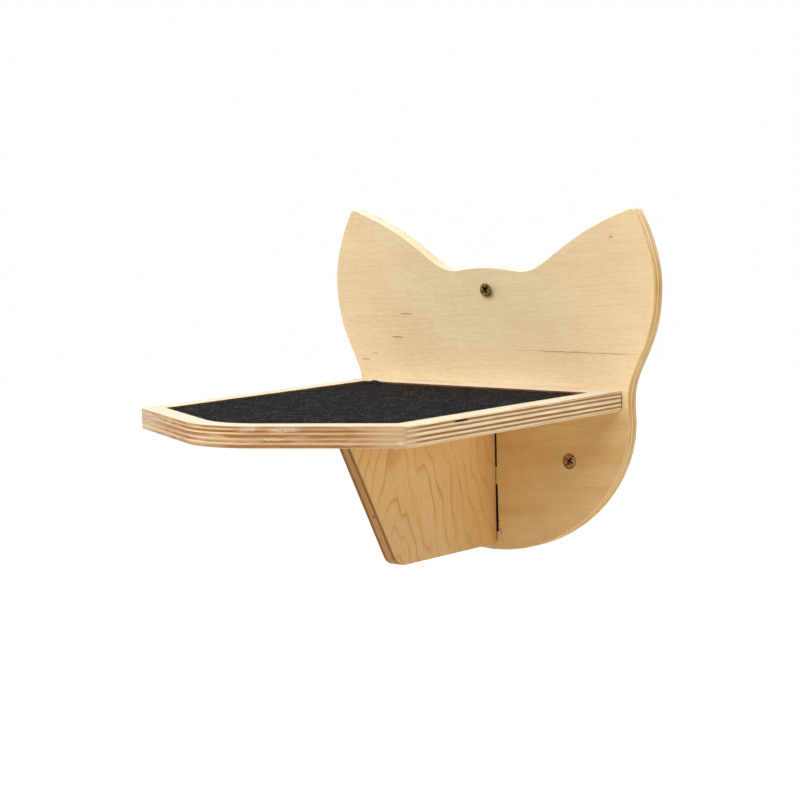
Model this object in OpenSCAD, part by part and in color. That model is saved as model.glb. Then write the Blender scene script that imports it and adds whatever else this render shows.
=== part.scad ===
// A wall step for a cat: a shelf board with a carpet inlay, a back plate with
// two ears, a bracket under the shelf and three screws into the wall.
// Millimetres. The wall plane is y = 0 and the step stands out towards -Y.
// The top of the shelf's rim is z = 0, and x = 0 is the middle of the back plate.

/* [Shelf board] */
// Width of the shelf from side to side
shelf_w = 195.5; // [190:0.5:200]
// Length of each straight side, from the plate to the side corner
shelf_side = 200; // [170:1:215]
// Reach of the shelf from the plate to where the two front edges would meet
shelf_reach = 252; // [240:1:270]
// Thickness of the board, nine plies
shelf_t = 12; // [11:0.5:15]
// Radius of the blunt nose, in plan
nose_r = 52; // [30:1:60]
// Radius of the two side corners, in plan
corner_r = 3; // [1:0.5:8]

/* [Carpet inlay] */
// Width of the rim beside the pocket
rim_side = 12; // [8:0.5:20]
// Width of the rim between the pocket and the plate
rim_back = 15.5; // [10:0.5:18]
// Width of the rim along the front edges
rim_front = 12.5; // [8:0.5:20]
// Depth of the pocket
pocket_depth = 4; // [3:0.5:5]
// Radius left by the router in the pocket's corners
pocket_r = 2; // [2:0.5:6]
// Thickness of the adhesive film under the carpet
film_t = 0.3; // [0.2:0.1:0.6]
// Thickness of the carpet with its pile
carpet_t = 2.7; // [2:0.1:4]
// Gap between the carpet and the pocket's walls
carpet_gap = 0.3; // [0.2:0.1:1]

/* [Back plate] */
// Thickness of the plate, seven plies
plate_t = 9; // [8:0.5:13]
// Depth of the chin below the top of the shelf
chin_drop = 102.5; // [101:0.5:110]
// Level length of the outline's curve at the chin
chin_pull = 60; // [45:1:70]
// Half width at the jaw
jaw_half = 102; // [100:0.5:106]
// Depth of the jaw's widest place below the top of the shelf
jaw_drop = 20; // [16:1:26]
// Upright length of the outline's curve under the jaw
jaw_pull = 38; // [30:0.5:45]
// Half width at the waist between jaw and ear
waist_half = 101.5; // [99:0.5:104]
// Depth of the waist below the top of the shelf
waist_drop = 7; // [4:0.5:10]
// Upright length of the outline's curve on both sides of the cheek
cheek_pull = 4; // [2:0.5:5]
// Upright length of the outline's curve above the waist
waist_pull = 23; // [16:1:28]
// Half width at the ears' widest place
ear_half = 121; // [114:0.5:124]
// Height of the ears' widest place
ear_level = 62.5; // [56:0.5:66]
// Upright length of the outline's curve below the ear's widest place
ear_pull = 39; // [30:0.5:44]
// Upright length of the outline's curve above the ear's widest place
ear_pull_up = 17.5; // [12:0.5:22]
// Distance of the ear tips from the middle
tip_x = 106.5; // [102:0.5:110]
// Height of the ear tips
tip_z = 107.5; // [102:0.5:112]
// Direction in which the ear's outer side runs into the tip
tip_side_angle = 121; // [112:1:126]
// Slope of the ear's inner side at the tip
tip_top_angle = 18; // [12:1:24]
// Length cut back from the sharp tip to round it
tip_round = 2.5; // [1:0.5:4]
// Length of the outer side's curve at the tip
tip_side_pull = 7.5; // [4:0.5:12]
// Length of the inner side's curve at the tip
tip_top_pull = 55; // [40:0.5:58]
// Distance of the low place beside the crown from the middle
dip_x = 25.5; // [24:0.5:32]
// Height of the low place
dip_z = 69.5; // [67:0.5:71]
// Level length of the outline's curve outside the low place
dip_pull = 19; // [10:0.5:22]
// Level length of the outline's curve inside the low place
dip_pull_in = 6; // [4:0.5:9]
// Height of the crown in the middle
crown_z = 71.5; // [71:0.5:76]
// Level length of the outline's curve at the crown
crown_pull = 14.5; // [8:0.5:18]

/* [Bracket] */
// Thickness of the bracket, seven plies
bracket_t = 9; // [8:0.5:12]
// Length of the bracket's top edge under the shelf
bracket_reach = 143; // [130:1:170]
// Length of the bracket's bottom edge
bracket_foot = 95.5; // [70:0.5:110]
// Height of the bracket below the shelf
bracket_drop = 86.5; // [82:0.5:90]
// Radius of the bracket's lower front corner
bracket_r = 11; // [5:1:15]

/* [Tenons] */
// Clearance above and below each tenon, and round the bracket's top tenons
tenon_fit = 0.1; // [0.05:0.05:0.3]
// Width of each of the shelf's two tenons
shelf_tenon_w = 45; // [30:1:60]
// Distance of the shelf's tenons from the middle
shelf_tenon_x = 52; // [40:1:60]
// Distance from the shelf's underside to the bracket's upper rear tenon
rear_tenon_drop = 9.5; // [6:0.5:10]
// Height of each of the bracket's two rear tenons
rear_tenon_h = 29.5; // [20:0.5:30]
// Wood left between the two rear tenons
rear_tenon_space = 10.5; // [8:0.5:12]
// Room that the plate's slots and mortises leave on each side of a centred tenon
slot_play = 1.1; // [0.1:0.1:1.5]
// Length of each of the bracket's two top tenons
top_tenon_l = 30; // [20:1:36]
// Distance from the plate to the first top tenon
top_tenon_start = 20; // [18:1:25]
// Length left between the two top tenons
top_tenon_space = 35; // [20:1:40]

/* [Wall screws] */
// Height of the upper screw
upper_screw_z = 58; // [50:0.5:60]
// Distance of the lower screws from the middle
lower_screw_x = 59; // [40:0.5:65]
// Depth of the lower screws below the top of the shelf
lower_screw_drop = 44; // [35:0.5:50]
// Length of a screw from the top of its head to its point
screw_l = 50; // [45:1:80]
// Outer diameter of the screw's thread
thread_d = 4; // [3.6:0.1:4.4]
// Length of the plain shank and the head together
shank_l = 17; // [16:0.5:20]
// Diameter of the plain shank
shank_d = 2.9; // [2.6:0.1:3.4]
// Length of the screw's point
point_l = 5; // [3:0.5:7]
// Diameter of the screw's head
head_d = 8; // [7.2:0.1:8.8]
// Height of the upright rim round the head
head_rim = 0.4; // [0.2:0.1:0.8]
// Diameter of the holes in the plate
hole_d = 4.5; // [4.4:0.1:5.5]
// Diameter of the lower holes' countersinks at the plate's face
sink_d = 9.6; // [8.9:0.1:11]
// Length of each arm pair of the cross recess
recess_l = 4.4; // [3.5:0.1:5]
// Width of the arms of the cross recess
recess_w = 1; // [0.8:0.1:1.2]
// Depth of the cross recess
recess_depth = 1.6; // [1:0.1:2]

/* [Hidden] */
$fn = 48;

// Straight steps in each curve of the plate's outline, and in each rounded corner
curve_steps = 14;
corner_steps = 12;
// Share of the length cut off a corner at which a cubic curve follows its arc
arc_pull = 0.55;
// How far a cut runs past the face it opens through
over = 1;

birch = "#e2c69a";
birch_shade = "#c9a26a";
charcoal = "#26262a";
film_grey = "#c8c6bf";
bronze = "#6b5f3a";

shelf_half = shelf_w / 2;
front_slope = (shelf_reach - shelf_side) / shelf_half;
pocket_floor = -pocket_depth;
bracket_low = -shelf_t - bracket_drop;
upper_tenon_z = -shelf_t - rear_tenon_drop;
lower_tenon_z = upper_tenon_z - rear_tenon_h - rear_tenon_space;
// The shelf and the bracket were pushed to the left in the plate's slots
pushed_left = max(0, slot_play - tenon_fit);
// A head of 90 degrees sinks until its edge meets the countersink's wall
sink_depth = (sink_d - head_d) / 2 - head_rim;
proud = (head_d - hole_d) / 2 + head_rim;

// Points of a cubic curve, without its last point
function curve(p0, p1, p2, p3) =
    [for (i = [0 : curve_steps - 1]) let (t = i / curve_steps, s = 1 - t)
        s * s * s * p0 + 3 * s * s * t * p1 + 3 * s * t * t * p2 + t * t * t * p3];

function unit(v) = v / norm(v);

// Points of the arc that rounds the corner b of a path that turns left
function corner_arc(a, b, c, r) =
    let (u = unit(a - b), w = unit(c - b), half = acos(u * w) / 2,
         middle = b + unit(u + w) * r / sin(half),
         start = b + u * r / tan(half) - middle,
         first = atan2(start[1], start[0]))
    [for (i = [0 : corner_steps]) let (at = first + (180 - 2 * half) * i / corner_steps)
        middle + r * [cos(at), sin(at)]];

function mirrored(path) = [for (i = [len(path) - 1 : -1 : 0]) [-path[i][0], path[i][1]]];

// Right half of the plate's outline in x and z, from the chin up to the crown
function plate_half() =
    let (chin = [0, -chin_drop], jaw = [jaw_half, -jaw_drop],
         waist = [waist_half, -waist_drop], ear = [ear_half, ear_level],
         tip = [tip_x, tip_z], dip = [dip_x, dip_z], crown = [0, crown_z],
         right = [1, 0], up = [0, 1],
         rise = [cos(tip_side_angle), sin(tip_side_angle)],
         fall = -[cos(tip_top_angle), sin(tip_top_angle)],
         tip_in = tip - rise * tip_round, tip_out = tip + fall * tip_round,
         tip_bend = tip_round * arc_pull)
    concat(
        curve(chin, chin + right * chin_pull, jaw - up * jaw_pull, jaw),
        curve(jaw, jaw + up * cheek_pull, waist - up * cheek_pull, waist),
        curve(waist, waist + up * waist_pull, ear - up * ear_pull, ear),
        curve(ear, ear + up * ear_pull_up, tip_in - rise * tip_side_pull, tip_in),
        curve(tip_in, tip_in + rise * tip_bend, tip_out - fall * tip_bend, tip_out),
        curve(tip_out, tip_out + fall * tip_top_pull, dip + right * dip_pull, dip),
        curve(dip, dip - right * dip_pull_in, crown + right * crown_pull, crown));

// Stands a flat outline of x and z up, from the wall plane out to the given depth
module upright(depth) rotate([90, 0, 0]) linear_extrude(depth) children();

// Block from the low corner to the high corner
module block(low, high) translate(low) cube(high - low);

// Plan of the shelf, or of its pocket, with the given rims cut off it
module shelf_plan(side, back, front, nose, corner) {
    half = shelf_half - side;
    rear = -plate_t - back;
    tip = -plate_t - shelf_reach + front * sqrt(1 + front_slope * front_slope);
    shoulder = tip + front_slope * half;
    right_corner = corner_arc([0, tip], [half, shoulder], [half, rear], corner);
    left_corner = corner_arc([-half, rear], [-half, shoulder], [0, tip], corner);
    nose_arc = corner_arc([-half, shoulder], [0, tip], [half, shoulder], nose);
    polygon(concat(left_corner, nose_arc, right_corner, [[half, rear], [-half, rear]]));
}

// Plan of the pocket, drawn in by a gap all round
module pocket_plan(gap) {
    shelf_plan(rim_side + gap, rim_back + gap, rim_front + gap,
               nose_r - rim_front - gap, pocket_r - gap);
}

// The shelf's two tenons, or their mortises, grown by a clearance and by play at the sides
module shelf_tenons(fit, play, reach) {
    for (side = [-1, 1])
        block([side * shelf_tenon_x - shelf_tenon_w / 2 - play, -plate_t - reach, -shelf_t - fit],
              [side * shelf_tenon_x + shelf_tenon_w / 2 + play, reach, fit]);
}

// The bracket's two rear tenons, or their slots, grown by a clearance and by play at the sides
module rear_tenons(fit, play, reach) {
    for (top = [upper_tenon_z, lower_tenon_z])
        block([-bracket_t / 2 - play, -plate_t - reach, top - rear_tenon_h - fit],
              [bracket_t / 2 + play, reach, top + fit]);
}

// The bracket's two top tenons, or their mortises, up to a level in the shelf
module top_tenons(fit, top) {
    for (step = [0, 1]) {
        start = -plate_t - top_tenon_start - step * (top_tenon_l + top_tenon_space);
        block([-bracket_t / 2 - fit, start - top_tenon_l - fit, -shelf_t - fit],
              [bracket_t / 2 + fit, start + fit, top]);
    }
}

// Puts a screw's axis at a place on the wall, with its head towards the room
module at_screw(x, z, face) translate([x, face, z]) rotate([-90, 0, 0]) children();

module screw_hole(x, z) {
    at_screw(x, z, -plate_t - over) cylinder(d = hole_d, h = plate_t + 2 * over);
}

// Countersink of 90 degrees that opens through the plate's face
module countersink(x, z) {
    depth = (sink_d - hole_d) / 2 + over;
    at_screw(x, z, -plate_t - over) cylinder(d1 = sink_d + 2 * over, d2 = hole_d, h = depth);
}

module cross_recess() {
    for (turn = [0, 90]) rotate([0, 0, turn])
        block([-recess_l / 2, -recess_w / 2, -over], [recess_l / 2, recess_w / 2, recess_depth]);
}

// Countersunk wood screw along +Z, with the top of its head at z = 0
module wood_screw() {
    cone = (head_d - shank_d) / 2;
    color(bronze) difference() {
        union() {
            cylinder(d = head_d, h = head_rim);
            translate([0, 0, head_rim]) cylinder(d1 = head_d, d2 = shank_d, h = cone);
            cylinder(d = shank_d, h = shank_l + over);
            translate([0, 0, shank_l]) cylinder(d = thread_d, h = screw_l - point_l - shank_l);
            translate([0, 0, screw_l - point_l]) cylinder(d1 = thread_d, d2 = 0, h = point_l);
        }
        cross_recess();
    }
}

module back_plate() {
    half = plate_half();
    above_chin = [for (i = [1 : len(half) - 1]) half[i]];
    color(birch) difference() {
        upright(plate_t) polygon(concat(half, [[0, crown_z]], mirrored(above_chin)));
        shelf_tenons(tenon_fit, slot_play, over);
        rear_tenons(tenon_fit, slot_play, over);
        screw_hole(0, upper_screw_z);
        for (side = [-1, 1]) {
            screw_hole(side * lower_screw_x, -lower_screw_drop);
            countersink(side * lower_screw_x, -lower_screw_drop);
        }
    }
}

module shelf_board() {
    color(birch) translate([-pushed_left, 0, 0]) difference() {
        union() {
            translate([0, 0, -shelf_t]) linear_extrude(shelf_t) shelf_plan(0, 0, 0, nose_r, corner_r);
            shelf_tenons(0, 0, 0);
        }
        translate([0, 0, pocket_floor]) linear_extrude(pocket_depth + over) pocket_plan(0);
        top_tenons(tenon_fit, over);
    }
}

module bracket() {
    rear_top = [-plate_t, -shelf_t];
    front_top = [-plate_t - bracket_reach, -shelf_t];
    front_low = [-plate_t - bracket_foot, bracket_low];
    rear_low = [-plate_t, bracket_low];
    lower_corner = corner_arc(front_top, front_low, rear_low, bracket_r);
    color(birch_shade) translate([-pushed_left, 0, 0]) union() {
        translate([-bracket_t / 2, 0, 0]) rotate([90, 0, 90]) linear_extrude(bracket_t)
            polygon(concat([front_top], lower_corner, [rear_low, rear_top]));
        rear_tenons(0, 0, 0);
        top_tenons(0, pocket_floor);
    }
}

module carpet_pad() {
    color(charcoal) translate([-pushed_left, 0, pocket_floor + film_t])
        linear_extrude(carpet_t) pocket_plan(carpet_gap);
}

module pad_adhesive() {
    color(film_grey) translate([-pushed_left, 0, pocket_floor])
        linear_extrude(film_t) pocket_plan(carpet_gap);
}

module upper_wall_screw() {
    at_screw(0, upper_screw_z, -plate_t - proud) wood_screw();
}

module lower_left_wall_screw() {
    at_screw(-lower_screw_x, -lower_screw_drop, -plate_t + sink_depth) wood_screw();
}

module lower_right_wall_screw() {
    at_screw(lower_screw_x, -lower_screw_drop, -plate_t + sink_depth) wood_screw();
}

back_plate();
shelf_board();
bracket();
carpet_pad();
pad_adhesive();
upper_wall_screw();
lower_left_wall_screw();
lower_right_wall_screw();
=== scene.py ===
"""Dresses a wall step for a cat: three plywood boards, a carpet inlay and three wood screws."""
import math
import random

import bmesh
import bpy
from mathutils import Matrix, Vector, noise


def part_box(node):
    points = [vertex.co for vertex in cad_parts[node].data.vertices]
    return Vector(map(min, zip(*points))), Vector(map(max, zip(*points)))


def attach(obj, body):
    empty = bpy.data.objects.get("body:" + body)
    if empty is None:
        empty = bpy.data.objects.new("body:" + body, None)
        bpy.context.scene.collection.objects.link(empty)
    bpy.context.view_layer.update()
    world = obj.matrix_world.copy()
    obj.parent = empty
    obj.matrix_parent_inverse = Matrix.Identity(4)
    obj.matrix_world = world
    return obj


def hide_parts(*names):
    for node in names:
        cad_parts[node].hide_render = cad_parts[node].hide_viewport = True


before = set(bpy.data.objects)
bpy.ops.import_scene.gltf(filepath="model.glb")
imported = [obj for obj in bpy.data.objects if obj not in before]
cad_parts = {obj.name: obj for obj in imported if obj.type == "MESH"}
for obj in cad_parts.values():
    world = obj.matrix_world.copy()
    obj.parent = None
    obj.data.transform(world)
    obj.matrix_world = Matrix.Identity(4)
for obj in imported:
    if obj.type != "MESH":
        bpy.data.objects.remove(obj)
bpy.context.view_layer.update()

MM = 0.001
BODY = "root"
X, Y, Z = range(3)

# The photograph's camera, in metres and degrees
EYE = Vector((0.8325, -1.1136, 0.1333))
AZIMUTH = math.radians(39.27)
ELEVATION = math.radians(5.86)
ROLL = math.radians(-1.37)
LENS_MM = 101.93

# Places taken from the frame
PLATE_LOW, PLATE_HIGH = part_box("back_plate")
SHELF_LOW, SHELF_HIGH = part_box("shelf_board")
BRACKET_LOW, BRACKET_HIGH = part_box("bracket")
CARPET_LOW, CARPET_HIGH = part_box("carpet_pad")
PLATE_FACE = PLATE_LOW.y
SHELF_TOP = SHELF_HIGH.z

# Thickness of each board, and depths of the glue lines below its face, in millimetres
PLATE_THICK = 9.0
SHELF_THICK = 12.0
BRACKET_THICK = 9.0
SHELF_PLIES = (1.2, 2.3, 3.5, 4.6, 6.3, 7.6, 8.8, 10.0)
PLATE_PLIES = (0.7, 1.7, 3.0, 4.7, 6.2, 7.7)
BRACKET_PLIES = (0.6, 2.6, 3.9, 5.1, 6.4, 8.4)
GLUE_BLUR = 0.13
GLUE_BROWN = (0.2, 0.1, 0.045)

# Plywood's roughness on faces and end grain, and the relief of its grain in metres
FACE_ROUGH, END_ROUGH = 0.5, 0.75
GRAIN_RELIEF = 0.00012

# The shelf and the bracket sit this many millimetres left of the plate's middle
SHELF_SHIFT = 1.0

# Points closer than this are one, in metres
TOUCHING = 0.001 * MM

# Millimetres of rounding on the boards' edges
PLATE_FRONT_ROUND = 2.2
PLATE_BACK_ROUND = 1.0
SHELF_TOP_ROUND = 0.7
SHELF_UNDER_ROUND = 1.1
POCKET_RIM_ROUND = 0.25
BRACKET_ROUND = 0.45
SLOT_CORNER_ROUND = 0.5

# The two open slots beside the bracket's rear tenons, in millimetres on the plate: the heights
# they lie between, the most ragged stretch, and their right edge at each height
SLOTS_LOW, SLOTS_HIGH = -93, -20
RAGGED_LOW, RAGGED_HIGH = -91, -78
SLOT_EDGE = 5.6
WALL_CUTS = 44
RIGHT_EDGE = ((-21, 5.0), (-52, 5.0), (-61, 4.8), (-63, 5.2),
              (-71, 5.3), (-80, 5.45), (-86, 5.6), (-92, 5.3))

# Marks on the plate's front, in millimetres: place, half sizes and, for a streak, its strength
STREAKS = (((-64, 41.6), (6.5, 0.42), 0.9), ((-71, 26.9), (6, 0.48), 0.95), ((-90, 16.1), (3.5, 0.35), 0.7),
           ((-98, 12.0), (4, 0.42), 0.8), ((91, 90), (1.7, 0.9), 0.6))
JOINT_SHADOWS = (((3.9, -56.2), (0.7, 6.5)), ((3.9, -94), (0.7, 4)), ((97.1, -6), (0.6, 7.5)),
                 ((6.7, -89.6), (0.6, 1.3)), ((7.2, -91.6), (0.9, 0.6)))
HAIRLINE = ((66, 21.6), (52, 0.5))

# Chalky scuffs on the shelf's front edges, in millimetres: x, y and depth below the top, and half sizes
SCUFFS = (((39, -239, 2.0), (12, 9, 1.5)), ((34, -242, 7.0), (8, 9, 1.2)),
          ((22, -250, 1.7), (6, 9, 1.2)), ((94, -206, 9.0), (5, 8, 1.8)))

# A void between two plies of the shelf's right edge, in millimetres: half sizes, y and depth
VOID_HALF = (1.1, 6.4, 0.62)
VOID_PLACE, VOID_DEPTH = -162.5, 1.8

# A nail hole in the bracket's front edge, not cut but painted as a dark spot of shade: its height and its
# depth from the left face
NAIL_HEIGHT, NAIL_DEPTH = -67.0, 5.4

# Carpet: mesh cells, and how far the frayed corner stands up, in millimetres
CARPET_CELLS = (190, 240)
FRAYED_CORNER = (-77, -25)
FRAY_RISE = 1.75
BORDER_WEAR = 0.65
TUFT_COLUMNS, TUFT_ROWS, TUFT_STRANDS = 22, 28, 30

# Cosine and sine of the way the carpet's nap is brushed
NAP_TURN = (0.77, 0.63)

# Wood screw, in millimetres: radius and depth of its profile from the head's face, then length,
# width and depth of an arm of its cross recess at the mouth and at the floor, then its thread
SCREW_PROFILE = ((0, 0), (3.72, 0), (3.93, 0.09), (4, 0.28), (3.95, 0.42), (1.75, 2.65), (1.45, 3.2),
                 (1.45, 16.6), (1.25, 17.4), (1.25, 44), (0, 49.8))
RECESS_MOUTH, RECESS_FLOOR = (5.4, 1.35, -0.2), (2.4, 0.7, 2.4)
THREAD_START, THREAD_FULL, THREAD_TIP = 17.2, 42.5, 49.6
THREAD_PITCH, THREAD_ROOT, THREAD_CREST, THREAD_WIDTH = 1.8, 1.15, 2.0, 0.9
THREAD_STEPS = 14

# Lamps: name, place, size in metres, watts and colour
LAMPS = (("key", (-0.9, -1.9, 2.3), 1.4, 62, (0.88, 0.93, 1)),
         ("front", (0.9, -2.6, 1.6), 1.6, 36, (1, 0.95, 0.87)),
         ("left", (-2.2, -1.2, 1.0), 1.6, 27, (1, 0.98, 0.97)),
         ("overhead", (0.3, 0.5, 2.4), 1.5, 38, (1, 1, 1)),
         ("behind", (0.5, 2.7, 1.3), 1.6, 30, (1, 1, 1)),
         ("side", (2.6, -0.1, -0.1), 1.4, 26, (1, 0.9, 0.68)),
         ("low", (0.3, -0.9, -1.1), 1.6, 6, (1, 0.62, 0.14)))

# The world's light on the object
WORLD_LIGHT = (0.06, 0.055, 0.04)

# The floor, in metres: its height, half its width, and where its glow starts and ends
FLOOR_HEIGHT = -1.6
FLOOR_HALF = 14
GLOW_NEAR, GLOW_FAR = 2.2, 3.6


def set_up_camera():
    """Stands the camera where the photograph was taken from."""
    ahead = Vector((-math.sin(AZIMUTH) * math.cos(ELEVATION),
                    math.cos(AZIMUTH) * math.cos(ELEVATION), -math.sin(ELEVATION)))
    right = Vector((math.cos(AZIMUTH), math.sin(AZIMUTH), 0))
    up = right.cross(ahead)
    turned_right = right * math.cos(ROLL) + up * math.sin(ROLL)
    turned_up = up * math.cos(ROLL) - right * math.sin(ROLL)
    camera = bpy.data.objects.new("camera", bpy.data.cameras.new("camera"))
    camera.data.lens = LENS_MM
    camera.data.sensor_width = 36
    turn = Matrix((turned_right, turned_up, -ahead)).transposed()
    camera.matrix_world = Matrix.Translation(EYE) @ turn.to_4x4()
    bpy.context.scene.collection.objects.link(camera)
    bpy.context.scene.camera = camera


class Recipe:
    """A material in the making. Its methods add nodes and give back their outputs."""

    def __init__(self, name, **surface):
        self.material = bpy.data.materials.new(name)
        self.material.use_nodes = True
        self.tree = self.material.node_tree
        self.surface = self.tree.nodes["Principled BSDF"]
        for socket, value in surface.items():
            self.surface.inputs[socket.replace("_", " ")].default_value = value

    def feed(self, socket, value):
        if isinstance(value, bpy.types.NodeSocket):
            self.tree.links.new(value, socket)
        elif value is not None:
            socket.default_value = value

    def node(self, kind, **inputs):
        made = self.tree.nodes.new("ShaderNode" + kind)
        for socket, value in inputs.items():
            self.feed(made.inputs[socket.replace("_", " ")], value)
        return made

    def math(self, operation, *values, clamp=False):
        made = self.tree.nodes.new("ShaderNodeMath")
        made.operation = operation
        made.use_clamp = clamp
        for socket, value in zip(made.inputs, values):
            self.feed(socket, value)
        return made.outputs[0]

    def product(self, first, *others):
        for other in others:
            first = self.math("MULTIPLY", first, other)
        return first

    def total(self, first, *others, clamp=False):
        for other in others:
            first = self.math("ADD", first, other, clamp=clamp)
        return first

    def less(self, value, taken, clamp=False):
        return self.math("SUBTRACT", value, taken, clamp=clamp)

    def squares(self, *places):
        """Sum of the squares of how far each value lies from its centre, in half sizes."""
        offsets = [self.math("DIVIDE", self.less(value, centre), half) for value, centre, half in places]
        return self.total(*[self.math("POWER", offset, 2.0) for offset in offsets])

    def vector(self, x, y, z):
        return self.node("CombineXYZ", X=x, Y=y, Z=z).outputs[0]

    def times(self, vector, factors):
        made = self.tree.nodes.new("ShaderNodeVectorMath")
        made.operation = "MULTIPLY"
        self.feed(made.inputs[0], vector)
        self.feed(made.inputs[1], factors)
        return made.outputs[0]

    def millimetres(self):
        """The place on the piece, in millimetres."""
        place = self.node("TexCoord").outputs["Object"]
        return self.times(place, (1 / MM, 1 / MM, 1 / MM))

    def noise(self, place, detail=3.0, roughness=0.5, distortion=0.0):
        made = self.node("TexNoise", Vector=place, Scale=1.0, Detail=detail,
                         Roughness=roughness, Distortion=distortion)
        return made.outputs["Fac"]

    def step(self, value, low, high, start=0.0, end=1.0):
        """Rises smoothly from start to end as value goes from low to high."""
        made = self.node("MapRange", Value=value, From_Min=low, From_Max=high,
                         To_Min=start, To_Max=end)
        made.interpolation_type = "SMOOTHSTEP"
        return made.outputs[0]

    def mix(self, share, a, b, blend="MIX"):
        made = self.tree.nodes.new("ShaderNodeMix")
        made.data_type = "RGBA"
        made.blend_type = blend
        for socket, value in zip((made.inputs[0], made.inputs[6], made.inputs[7]), (share, a, b)):
            plain = isinstance(value, (float, bpy.types.NodeSocket))
            self.feed(socket, value if plain else (*value, 1))
        return made.outputs[2]

    def between(self, share, a, b):
        """The number between a and b."""
        made = self.tree.nodes.new("ShaderNodeMix")
        for socket, value in zip((made.inputs[0], made.inputs[2], made.inputs[3]), (share, a, b)):
            self.feed(socket, value)
        return made.outputs[0]

    def bump(self, height, distance, strength=1.0):
        made = self.node("Bump", Height=height, Distance=distance, Strength=strength)
        self.feed(self.surface.inputs["Normal"], made.outputs[0])

    def colour(self, value):
        self.feed(self.surface.inputs["Base Color"], value)

    def roughness(self, value):
        self.feed(self.surface.inputs["Roughness"], value)


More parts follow.
